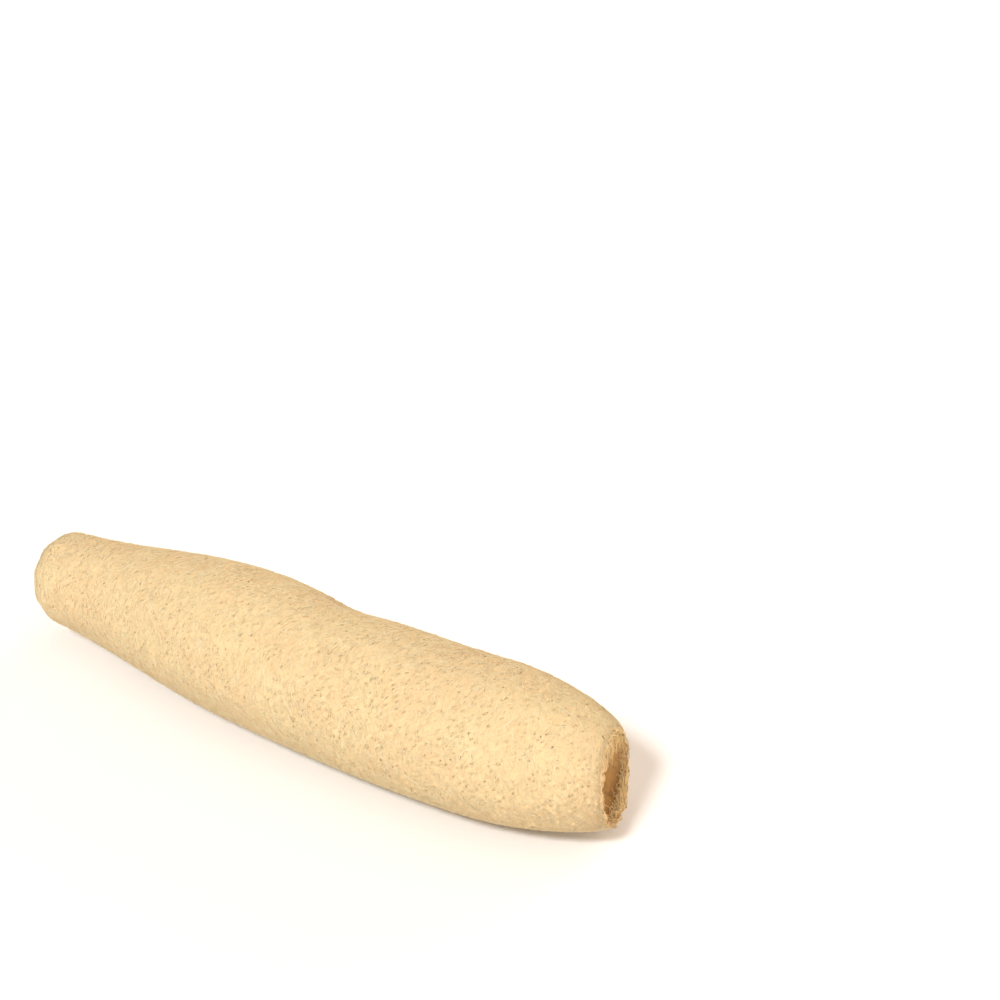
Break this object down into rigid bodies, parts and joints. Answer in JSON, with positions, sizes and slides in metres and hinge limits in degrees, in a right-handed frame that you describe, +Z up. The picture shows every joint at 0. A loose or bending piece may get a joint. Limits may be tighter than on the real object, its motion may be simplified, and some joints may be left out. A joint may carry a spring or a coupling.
{
  "type": "natural loofah sponge",
  "caption": "Whole dried loofah sponge: a bowed, club-shaped body of coarse straw-coloured fibre net, closed at the slim tip and cut open at the other end to show its seed chambers.",
  "frame": {"origin": "middle of the underside, on the surface that the sponge lies on", "axes": "+X along the sponge from the closed tip to the cut mouth, +Z up"},
  "size_m": [0.3798, 0.092, 0.0803],
  "materials": {
    "loofah_fibre": "matte"
  },
  "bodies": {
    "root": {"loofah": "loofah_fibre"}
  },
  "joints": []
}
